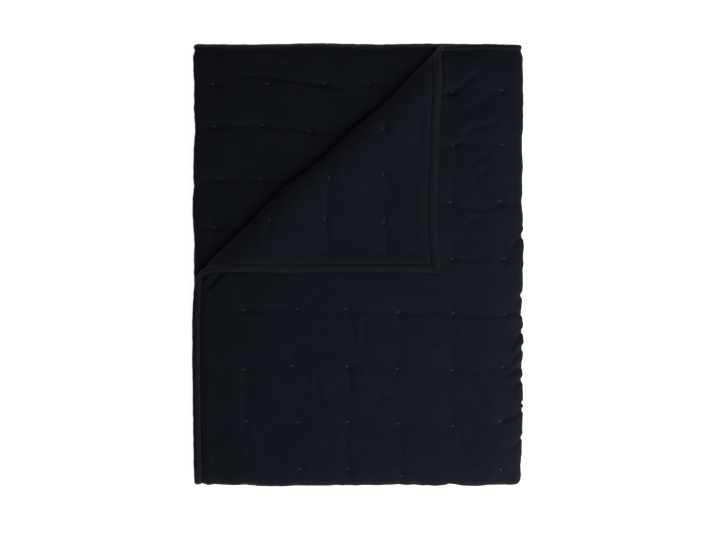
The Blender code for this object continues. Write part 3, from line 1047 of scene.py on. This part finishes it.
def makeBinding(name, node, runsAlong, atFarEdge, material):
    # runsAlong is true for a band on a side, whose length runs along the cloth
    total, span = (flatLength, flatWidth) if runsAlong else (flatWidth, flatLength)
    corner = seamAt * np.array([0, 0.33, 0.66])  # its lines where it turns the corner
    lines = np.concatenate([corner, alongLines if runsAlong else acrossLines, total - corner[::-1]])
    profile = bandProfile()
    ring = profile + [(inside, -half) for inside, half in profile[-2::-1]]
    inside, half = np.array(ring).T[:, None, :]
    at = lines[:, None]
    mitre = inside + throw["pieceGap"] / 2 * math.sqrt(2)
    run = binding["mitreRun"]
    at = at + mitre * np.clip(1 - at / run, 0, 1) - mitre * np.clip(1 - (total - at) / run, 0, 1)
    inside = inside + 0 * at
    half = half + 0 * at
    edge = span - inside if atFarEdge else inside
    across, along = (edge, at) if runsAlong else (at, edge)
    across, along = across.ravel(), along.ravel()
    count = len(ring)
    faces = []
    for n in range(len(lines) - 1):
        for k in range(count):
            a, b = n * count + k, n * count + (k + 1) % count
            faces.append((a, b, b + count, a + count))
    faces.append(tuple(range(count))[::-1])
    faces.append(tuple(range((len(lines) - 1) * count, len(lines) * count)))
    if runsAlong == atFarEdge:
        faces = [face[::-1] for face in faces]
    mesh = bpy.data.meshes.new(name)
    mesh.from_pydata(np.stack(placed(across, along, half.ravel()), -1), [], faces)
    storeFlat(mesh, across, along)
    storeWearAndShade(mesh, across, along)
    piece = linkPiece(name, mesh, material)
    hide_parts(node)
    return piece


class Value:
    # a node's socket that takes part in sums
    def __init__(self, nodes, socket):
        self.nodes = nodes
        self.socket = socket

    def sum(self, operation, first, second):
        return self.nodes.node("ShaderNodeMath", {"operation": operation}, {0: first, 1: second})

    def __add__(self, other):
        return self.sum("ADD", self, other)

    def __radd__(self, other):
        return self.sum("ADD", other, self)

    def __sub__(self, other):
        return self.sum("SUBTRACT", self, other)

    def __rsub__(self, other):
        return self.sum("SUBTRACT", other, self)

    def __mul__(self, other):
        return self.sum("MULTIPLY", self, other)

    def __rmul__(self, other):
        return self.sum("MULTIPLY", other, self)

    def output(self, place):
        # another output of the same node
        return Value(self.nodes, self.socket.node.outputs[place])


class Nodes:
    # a node tree and what is added to it
    def __init__(self, tree):
        self.tree = tree

    def feed(self, socket, value):
        if isinstance(value, Value):
            self.tree.links.new(value.socket, socket)
        else:
            socket.default_value = value

    def node(self, kind, settings=None, sockets=None, output=0):
        made = self.tree.nodes.new(kind)
        for key, value in (settings or {}).items():
            setattr(made, key, value)
        for key, value in (sockets or {}).items():
            self.feed(made.inputs[key], value)
        return Value(self, made.outputs[output])

    def vectors(self, operation, first, second):
        # of two vectors, or of one and a number that scales it
        place = 3 if operation == "SCALE" else 1
        return self.node("ShaderNodeVectorMath", {"operation": operation}, {0: first, place: second})


class Shader(Nodes):
    # a material and its nodes
    def __init__(self, name):
        self.material = bpy.data.materials.new(name)
        self.material.use_nodes = True
        super().__init__(self.material.node_tree)
        self.surface = self.tree.nodes["Principled BSDF"]

    def set(self, sockets):
        for key, value in sockets.items():
            self.feed(self.surface.inputs[key], value)

    def noise(self, place, size, detail=2.0, rough=0.5):
        # about 0 to 1, with humps of this size in metres
        return self.node("ShaderNodeTexNoise", None, {
            "Vector": place, "Scale": 1 / size, "Detail": detail, "Roughness": rough})

    def between(self, share, low, high):
        # 0 below low and 1 above high
        return self.node("ShaderNodeMapRange", {"interpolation_type": "SMOOTHSTEP"}, {
            "Value": share, "From Min": low, "From Max": high})

    def bump(self, strength, depth, height, under=None):
        # on top of another bump, where one is given
        sockets = {"Strength": strength, "Distance": depth, "Height": height}
        if under:
            sockets["Normal"] = under
        return self.node("ShaderNodeBump", None, sockets)

    def mix(self, share, first, second):
        # of two colours
        return self.node("ShaderNodeMix", {"data_type": "RGBA"}, {0: share, 6: first, 7: second}, 2)


# What both woven cloths share
weave = {
    "wanderSize": 0.013,  # metres from one wander of the threads to the next
    "wander": 3,  # how far they wander, in threads
    "slubThin": 0.35,  # width of a thick place in the yarn, as a share of the cloth's slub
    "slubDrawn": 0.08,  # and how much it is drawn out
    "crushSize": 0.55,  # of the crumpling, as a share of the cloth's cloud
    "threadDepth": 0.00012,
    "crushDepth": 0.0009,
    "polish": 0.06,  # how much smoother light and rubbed places are
}

# The quilt's fine woven cotton. Colours are for the light side and the dark side of its mottling
quiltCloth = {
    "lightColor": (0.0084, 0.0108, 0.0178, 1),
    "darkColor": (0.0064, 0.0086, 0.0146, 1),
    "wornColor": (0.0125, 0.0150, 0.0225, 1),
    "threadPitch": 0.00062,
    "patches": 0.042,
    "cloud": 0.011,
    "slub": 0.0030,
    "weaveBump": 0.30,
    "crushBump": 0.60,
    "roughness": 0.86,
    "sheen": 0.016,
}

bindingCloth = {
    "lightColor": (0.0122, 0.0134, 0.0190, 1),
    "darkColor": (0.0088, 0.0102, 0.0152, 1),
    "wornColor": (0.0180, 0.0195, 0.0260, 1),
    "threadPitch": 0.00050,
    "patches": 0.030,
    "cloud": 0.008,
    "slub": 0.0024,
    "weaveBump": 0.22,
    "crushBump": 0.40,
    "roughness": 0.80,
    "sheen": 0.032,
}


def wovenCloth(name, cloth):
    shader = Shader(name)
    flat = shader.node("ShaderNodeUVMap", {"uv_map": "flatCloth"})
    wander = shader.noise(flat, weave["wanderSize"], 1.0).output(1)
    centred = shader.vectors("SUBTRACT", wander, (0.5, 0.5, 0.5))
    drawn = shader.vectors("SCALE", centred, cloth["threadPitch"] * weave["wander"])
    turns = 2 * math.pi / cloth["threadPitch"]
    warp = shader.node("ShaderNodeSeparateXYZ", None, {0: shader.vectors("ADD", flat, drawn)})
    acrossWave = shader.node("ShaderNodeMath", {"operation": "SINE"}, {0: warp * turns})
    alongWave = shader.node("ShaderNodeMath", {"operation": "SINE"}, {0: warp.output(1) * turns})
    threads = acrossWave * alongWave * 0.5 + 0.5
    thin, narrow = cloth["slub"] * weave["slubThin"], weave["slubDrawn"]
    warpSlub = shader.noise(shader.vectors("MULTIPLY", flat, (1, narrow, 1)), thin)
    weftSlub = shader.noise(shader.vectors("MULTIPLY", flat, (narrow, 1, 1)), thin)
    slub = warpSlub * 0.5 + weftSlub * 0.5
    patches = shader.noise(flat, cloth["patches"], 2.0)
    cloud = shader.noise(flat, cloth["cloud"], 4.0, 0.6)
    crush = shader.noise(flat, cloth["cloud"] * weave["crushSize"], 3.0, 0.55)
    wearAndShade = shader.node("ShaderNodeAttribute", {"attribute_name": "wearAndShade"}, None, 2)
    shade = shader.between(patches * 0.40 + cloud * 0.35 + slub * 0.25, 0.34, 0.66)
    color = shader.mix(shade, cloth["darkColor"], cloth["lightColor"])
    fibres = shader.between(slub * 0.6 + threads * 0.4, 0.30, 0.72)
    # wornColor follows the wear attribute, which is also kept low on the middle layer as painted shade
    color = shader.mix(wearAndShade * (fibres * 0.6 + 0.4), color, cloth["wornColor"])
    woven = shader.bump(cloth["weaveBump"], weave["threadDepth"], threads * 0.6 + slub * 1.2)
    rumpled = shader.bump(cloth["crushBump"], weave["crushDepth"], crush * 0.6 + cloud * 0.6, woven)
    polish = weave["polish"]
    shader.set({
        "Base Color": color,
        "Roughness": shade * -polish + (cloth["roughness"] + 0.05) - wearAndShade * polish,
        "Normal": rumpled,
        "Specular IOR Level": 0.12,
        "Sheen Weight": cloth["sheen"],
        "Sheen Roughness": 0.45,
        "Sheen Tint": (0.72, 0.80, 1.0, 1),
    })
    return shader.material


# Thread: the tufts' loose yarn, and the seams' fine hard thread
tuftThread = {
    "lightColor": (0.0186, 0.0218, 0.0302, 1),
    "darkColor": (0.0085, 0.0105, 0.0160, 1),
    "fibre": 0.0007,
    "roughness": 0.58,
    "sheen": 0.08,
}

seamThread = {
    "lightColor": (0.0130, 0.0145, 0.0200, 1),
    "darkColor": (0.0080, 0.0092, 0.0135, 1),
    "fibre": 0.0005,
    "roughness": 0.60,
    "sheen": 0.05,
}


def twistedThread(name, thread):
    shader = Shader(name)
    place = shader.node("ShaderNodeTexCoord", None, None, 3)
    fibre = shader.noise(place, thread["fibre"], 3.0, 0.6)
    tone = shader.noise(place, thread["fibre"] * 9, 1.0)
    shade = shader.between(fibre * 0.6 + tone * 0.4, 0.3, 0.7)
    shader.set({
        "Base Color": shader.mix(shade, thread["darkColor"], thread["lightColor"]),
        "Roughness": (1 - shade) * 0.12 + (thread["roughness"] - 0.05),
        "Normal": shader.bump(0.5, 0.0002, fibre),
        "Sheen Weight": thread["sheen"],
    })
    return shader.material


quiltMaterial = wovenCloth("navyQuiltCloth", quiltCloth)
bindingMaterial = wovenCloth("navyBindingCloth", bindingCloth)
tuftMaterial = twistedThread("navyTuftYarn", tuftThread)
seamMaterial = twistedThread("navySeamThread", seamThread)
print("materials made")

quilt = makeQuilt(quiltMaterial)
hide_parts("quilt")
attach(quilt, "root")

bands = [
    makeBinding("bindingOpenSide", "binding_open_side", True, False, bindingMaterial),
    makeBinding("bindingInnerSide", "binding_inner_side", True, True, bindingMaterial),
    makeBinding("bindingUpperEnd", "binding_upper_end", False, False, bindingMaterial),
    makeBinding("bindingLowerEnd", "binding_lower_end", False, True, bindingMaterial),
]
for band in bands:
    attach(band, "root")
print("bindings made:", len(bands))

# Stitches. Each is a few strands that arch over the cloth and go down into it
tuftStitch = {
    "Length": 0.0082,
    "Rise": 0.0015,
    "Sink": 0.0012,
    "Strand": 0.00042,
    "Strands": 4,
    "Spread": 0.00062,
    "Unevenness": 0.16,
    "Seed": 7,
}

seamStitch = {
    "Length": 0.0027,
    "Rise": 0.00032,
    "Sink": 0.0003,
    "Strand": 0.00019,
    "Strands": 1,
    "Spread": 0.0,
    "Unevenness": 0.06,
    "Seed": 9,
    "Spacing": 0.0034,
}


def stitchTree(name, sizes):
    # places, with their directions "run" and "face", become stitches
    tree = bpy.data.node_groups.new(name, "GeometryNodeTree")
    tree.interface.new_socket("Places", in_out="INPUT", socket_type="NodeSocketGeometry")
    for label, size in sizes.items():
        kind = "NodeSocketInt" if isinstance(size, int) else "NodeSocketFloat"
        tree.interface.new_socket(label, in_out="INPUT", socket_type=kind)
    tree.interface.new_socket("Thread", in_out="INPUT", socket_type="NodeSocketMaterial")
    tree.interface.new_socket("Stitches", in_out="OUTPUT", socket_type="NodeSocketGeometry")
    nodes = Nodes(tree)
    start = tree.nodes.new("NodeGroupInput")
    given = {socket.name: Value(nodes, socket) for socket in start.outputs}
    places = given["Places"]
    if "Spacing" in given:
        path = nodes.node("GeometryNodeMeshToCurve", None, {"Mesh": places})
        places = nodes.node("GeometryNodeResampleCurve", {"mode": "LENGTH"}, {
            "Curve": path, "Length": given["Spacing"]})
    end = given["Length"] * 0.5
    low = given["Sink"] * -1
    strand = nodes.node("GeometryNodeCurveQuadraticBezier", None, {
        "Resolution": 5,
        "Start": nodes.node("ShaderNodeCombineXYZ", None, {"X": end * -1, "Z": low}),
        "Middle": nodes.node("ShaderNodeCombineXYZ", None, {"Z": given["Rise"] * 2 + given["Sink"]}),
        "End": nodes.node("ShaderNodeCombineXYZ", None, {"X": end, "Z": low}),
    })
    outline = nodes.node("GeometryNodeCurvePrimitiveCircle", None, {
        "Resolution": 6, "Radius": given["Strand"]})
    tube = nodes.node("GeometryNodeCurveToMesh", None, {
        "Curve": strand, "Profile Curve": outline, "Fill Caps": True})
    copies = nodes.node("GeometryNodeDuplicateElements", {"domain": "POINT"}, {
        "Geometry": places, "Amount": given["Strands"]})
    run, face = [
        nodes.node("GeometryNodeInputNamedAttribute", {"data_type": "FLOAT_VECTOR"}, {"Name": label})
        for label in ("run", "face")
    ]
    uneven = nodes.node("FunctionNodeRandomValue", {"data_type": "FLOAT_VECTOR"}, {
        "Min": (-1, -1, -1), "Max": (1, 1, 1), "Seed": given["Seed"]})
    split = nodes.node("ShaderNodeSeparateXYZ", None, {0: uneven})
    over = (copies.output(1) - (given["Strands"] - 1) * 0.5) * given["Spread"]
    moved = nodes.vectors("SCALE", nodes.vectors("CROSS_PRODUCT", face, run), over)
    along = nodes.vectors("SCALE", run, split * given["Unevenness"] * given["Length"])
    spread = nodes.node("GeometryNodeSetPosition", None, {
        "Geometry": copies, "Offset": nodes.vectors("ADD", moved, along)})
    turned = nodes.node("FunctionNodeAxesToRotation", {"primary_axis": "Z", "secondary_axis": "X"}, {
        "Primary Axis": face, "Secondary Axis": run})
    twist = nodes.node("FunctionNodeAxisAngleToRotation", None, {
        "Axis": (0, 0, 1), "Angle": split.output(1) * given["Unevenness"]})
    turned = nodes.node("FunctionNodeRotateRotation", {"rotation_space": "LOCAL"}, {
        "Rotation": turned, "Rotate By": twist})
    grown = nodes.node("ShaderNodeCombineXYZ", None, {
        "X": split.output(2) * given["Unevenness"] + 1, "Y": 1.0, "Z": 1.0})
    placedStrands = nodes.node("GeometryNodeInstanceOnPoints", None, {
        "Points": spread, "Instance": tube, "Rotation": turned, "Scale": grown})
    solid = nodes.node("GeometryNodeRealizeInstances", None, {"Geometry": placedStrands})
    finished = nodes.node("GeometryNodeSetMaterial", None, {
        "Geometry": solid, "Material": given["Thread"]})
    tree.links.new(finished.socket, tree.nodes.new("NodeGroupOutput").inputs[0])
    return tree


def seatsAt(across, along, side):
    # points on the quilt's face or back, with the directions across and along the cloth and out of it
    step = 0.0006  # between the places that a direction is taken from

    def at(offAcross, offAlong):
        u, v = across + offAcross, along + offAlong
        return np.stack(surface(u, v, side * halfThickness(u, v, side), side), -1)

    run = at(step, 0) - at(-step, 0)
    down = at(0, step) - at(0, -step)
    face = np.cross(down, run) * side
    return at(0, 0), unit(run), unit(down), unit(face)


def unit(vectors):
    return vectors / np.linalg.norm(vectors, axis=-1, keepdims=True)


def sewn(name, places, joins, run, face, sizes, thread):
    # stitches made by their node tree at these places, as one plain mesh
    mesh = bpy.data.meshes.new(name + "Places")
    mesh.from_pydata(places, joins, [])
    for label, vectors in (("run", run), ("face", face)):
        stored = mesh.attributes.new(label, "FLOAT_VECTOR", "POINT")
        stored.data.foreach_set("vector", vectors.astype(np.float32).ravel())
    guide = bpy.data.objects.new(name + "Places", mesh)
    bpy.context.collection.objects.link(guide)
    modifier = guide.modifiers.new("stitches", "NODES")
    modifier.node_group = stitchTree(name, sizes)
    for item in modifier.node_group.interface.items_tree:
        if item.in_out == "INPUT" and item.name in sizes:
            modifier[item.identifier] = sizes[item.name]
        if item.name == "Thread":
            modifier[item.identifier] = thread
    result = guide.evaluated_get(bpy.context.evaluated_depsgraph_get())
    stitchMesh = bpy.data.meshes.new_from_object(result)
    bpy.data.objects.remove(guide)
    stitchMesh.name = name
    piece = linkPiece(name, stitchMesh, thread)
    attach(piece, "root")
    print(name + ":", len(stitchMesh.polygons), "faces")
    return piece


def shownTufts():
    # (across, along, side) of the tufts whose stitch can be seen
    found = []
    for row, column in np.ndindex(tufts["rows"], tufts["columns"]):
        across = columnAt[column] + drift[row, column, 0]
        along = rowAt[row] + drift[row, column, 1]
        if across < underStart:
            found.append((across, along, 1 if pastCrease(across, along) < tufts["onRoll"] else -1))
        elif across > middleStart and revealedBy(across, along) < tufts["shownTo"]:
            found.append((across, along, 1))
    return found


def makeTuftStitches():
    rng = np.random.default_rng(5)
    found = []
    for side in (1, -1):
        spots = np.array([spot[:2] for spot in shownTufts() if spot[2] == side])
        at, run, down, face = seatsAt(spots[:, 0], spots[:, 1], side)
        turn = rng.normal(0, tufts["turn"], len(spots))[:, None]
        found.append((at, unit(run * np.cos(turn) + down * np.sin(turn)), face))
    places, runs, faces = [np.concatenate(parts) for parts in zip(*found)]
    return sewn("tuftStitches", places, [], runs, faces, tuftStitch, tuftMaterial)


# The seams that are sewn with these stitches
seams = {
    "outside": 0.0012,  # how far in from the binding the quilt is sewn
    "pointEvery": 0.004,
    "afterCrease": 0.004,
}


def seamRun(start, end, fixed, runsAlong, side):
    # a line of points beside a binding's seam, from start to end
    count = int((end - start) / seams["pointEvery"])
    at = np.linspace(start, end, count)
    across, along = (np.full(count, fixed), at) if runsAlong else (at, np.full(count, fixed))
    places, run, down, face = seatsAt(across, along, side)
    return places, (down if runsAlong else run), face


def makeSeamStitches():
    # along the seams of the face that show, and along the turned-back corner's
    inset = seamAt + seams["outside"]
    past = math.pi * fold["rollAtEnd"]
    onSide, onEnd = fold["creaseOnSide"], fold["creaseOnEnd"]
    clear = seams["afterCrease"]
    farInset = flatLength - inset
    lines = [
        seamRun(onSide + clear, farInset, inset, True, 1),
        seamRun(onEnd + clear, underStart, inset, False, 1),
        seamRun(middleStart, flatWidth - inset, inset, False, 1),
        seamRun(inset, underStart, farInset, False, 1),
        seamRun(inset, onSide - past, inset, True, -1),
        seamRun(inset, onEnd - past, inset, False, -1),
    ]
    joins = []
    start = 0
    for places, _, _ in lines:
        joins += [(start + n, start + n + 1) for n in range(len(places) - 1)]
        start += len(places)
    places, runs, faces = [np.concatenate(parts) for parts in zip(*lines)]
    return sewn("seamStitches", places, joins, runs, faces, seamStitch, seamMaterial)


tuftStitches = makeTuftStitches()
seamStitches = makeSeamStitches()


# Studio
studio = {
    "viewWidth": 1.0895,
    "aimX": -0.0003,
    "aimY": -0.0078,
    "height": 4.0,
    "filmWidth": 36.0,
    "floorSide": 12.0,
    "floorGlow": 0.90,
    "skyStrength": 0.13,
    "lampAt": (0.56, -0.34, 0.61),
    "lampAim": (0.24, -0.16, 0.0),
    "lampSide": 1.35,
    "lampPower": 8.9,
}


def makeCamera(scene):
    camera = bpy.data.cameras.new("camera")
    camera.lens = studio["filmWidth"] * (studio["height"] - stack) / studio["viewWidth"]
    camera.sensor_width = studio["filmWidth"]
    camera.clip_end = 20
    holder = bpy.data.objects.new("camera", camera)
    holder.location = (studio["aimX"], studio["aimY"], studio["height"])
    scene.collection.objects.link(holder)
    scene.camera = holder


def makeFloor(scene):
    reach = studio["floorSide"] / 2
    mesh = bpy.data.meshes.new("floor")
    mesh.from_pydata([(-reach, -reach, 0), (reach, -reach, 0), (reach, reach, 0), (-reach, reach, 0)],
                     [], [(0, 1, 2, 3)])
    floor = bpy.data.objects.new("floor", mesh)
    floor.location.z = -0.0005
    scene.collection.objects.link(floor)
    paint = Shader("studioFloor")
    paint.set({
        "Base Color": (0.9, 0.9, 0.9, 1),
        "Roughness": 0.9,
        "Specular IOR Level": 0.0,
        "Emission Color": (1, 1, 1, 1),
        "Emission Strength": studio["floorGlow"],
    })
    mesh.materials.append(paint.material)


def makeLights(scene):
    world = bpy.data.worlds.new("studio")
    world.use_nodes = True
    world.node_tree.nodes["Background"].inputs["Color"].default_value = (1, 1, 1, 1)
    world.node_tree.nodes["Background"].inputs["Strength"].default_value = studio["skyStrength"]
    scene.world = world
    lamp = bpy.data.lights.new("softbox", "AREA")
    lamp.shape = "RECTANGLE"
    lamp.size = studio["lampSide"]
    lamp.size_y = studio["lampSide"]
    lamp.energy = studio["lampPower"]
    box = bpy.data.objects.new("softbox", lamp)
    box.location = studio["lampAt"]
    aim = Vector(studio["lampAim"]) - box.location
    box.rotation_euler = aim.to_track_quat("-Z", "Y").to_euler()
    scene.collection.objects.link(box)


makeCamera(bpy.context.scene)
makeFloor(bpy.context.scene)
makeLights(bpy.context.scene)
bpy.context.scene.view_settings.view_transform = "Standard"
